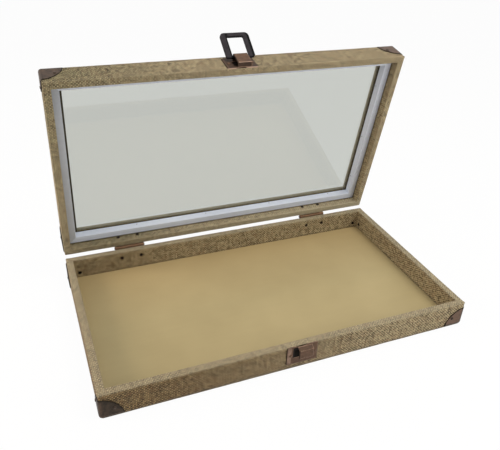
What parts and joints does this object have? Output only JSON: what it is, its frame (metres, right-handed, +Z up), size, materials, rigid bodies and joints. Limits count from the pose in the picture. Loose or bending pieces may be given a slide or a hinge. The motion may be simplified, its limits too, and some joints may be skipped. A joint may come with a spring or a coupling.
{
  "type": "glass-top display case",
  "caption": "Shallow hinged display case: cloth-covered tray and glass lid standing open, sheet-metal corner caps, back hinges, and a front latch with a folding ring",
  "frame": {"origin": "centre of the tray's flat underside, on the surface that it stands on", "axes": "+X runs along the case to the right seen from the front, -Y is the front with the catch, +Y the hinges, +Z up out of the tray"},
  "size_m": [0.3782, 0.2429, 0.2606],
  "materials": {
    "tray_burlap": "coarse woven burlap, olive brown, glued down",
    "lid_burlap": "coarse woven burlap, olive brown, glued down",
    "underlay_cloth": "plain cloth glued under the tray",
    "board_wood": "planed softwood, hidden by the cloth",
    "floor_panel": "smooth tan panel, satin",
    "clear_glass": "clear float glass with a faint grey-green tint",
    "strip_paint": "glazing strips painted pale blue-grey, satin",
    "cap_bronze": "bent sheet steel, dark antique bronze",
    "tack_bronze": "domed tacks, dark antique bronze",
    "latch_copper": "pressed sheet steel, antique copper",
    "latch_tack_copper": "domed tacks, antique copper",
    "hinge_copper": "pressed sheet steel, antique copper",
    "hinge_pin_copper": "steel pins and screws, antique copper",
    "ring_black": "cast ring, black gunmetal"
  },
  "bodies": {
    "tray": {"base_front_board": "board_wood", "base_right_board": "board_wood", "base_back_board": "board_wood", "base_left_board": "board_wood", "floor_board": "floor_panel", "base_cover": "tray_burlap", "underlay": "underlay_cloth", "base_cap_front_left": "cap_bronze", "base_cap_front_right": "cap_bronze", "base_cap_back_right": "cap_bronze", "base_cap_back_left": "cap_bronze", "base_corner_tacks": "tack_bronze", "catch_plate": "latch_copper", "catch_tacks": "latch_tack_copper", "hinge_left_lower_leaf": "hinge_copper", "hinge_right_lower_leaf": "hinge_copper", "hinge_left_pin": "hinge_pin_copper", "hinge_right_pin": "hinge_pin_copper", "lower_hinge_screws": "hinge_pin_copper"},
    "lid": {"lid_front_rail": "board_wood", "lid_right_rail": "board_wood", "lid_back_rail": "board_wood", "lid_left_rail": "board_wood", "lid_cover": "lid_burlap", "glass_panel": "clear_glass", "glass_strip_front": "strip_paint", "glass_strip_right": "strip_paint", "glass_strip_back": "strip_paint", "glass_strip_left": "strip_paint", "lid_cap_front_left": "cap_bronze", "lid_cap_front_right": "cap_bronze", "lid_cap_back_right": "cap_bronze", "lid_cap_back_left": "cap_bronze", "lid_corner_tacks": "tack_bronze", "latch_plate": "latch_copper", "latch_tacks": "latch_tack_copper", "hinge_left_upper_leaf": "hinge_copper", "hinge_right_upper_leaf": "hinge_copper", "upper_hinge_screws": "hinge_pin_copper"},
    "ring": {"latch_ring": "ring_black"}
  },
  "joints": [
    {"name": "lid_hinge", "type": "hinge", "parent": "tray", "child": "lid", "pos_m": [0, 0.10715, 0.0273], "axis": [1, 0, 0], "range_deg": [-101, 79]},
    {"name": "ring_pivot", "type": "hinge", "parent": "lid", "child": "ring", "pos_m": [0.0027, 0.08227, 0.2423], "axis": [1, 0, 0], "range_deg": [-25.7, 143.5]}
  ]
}
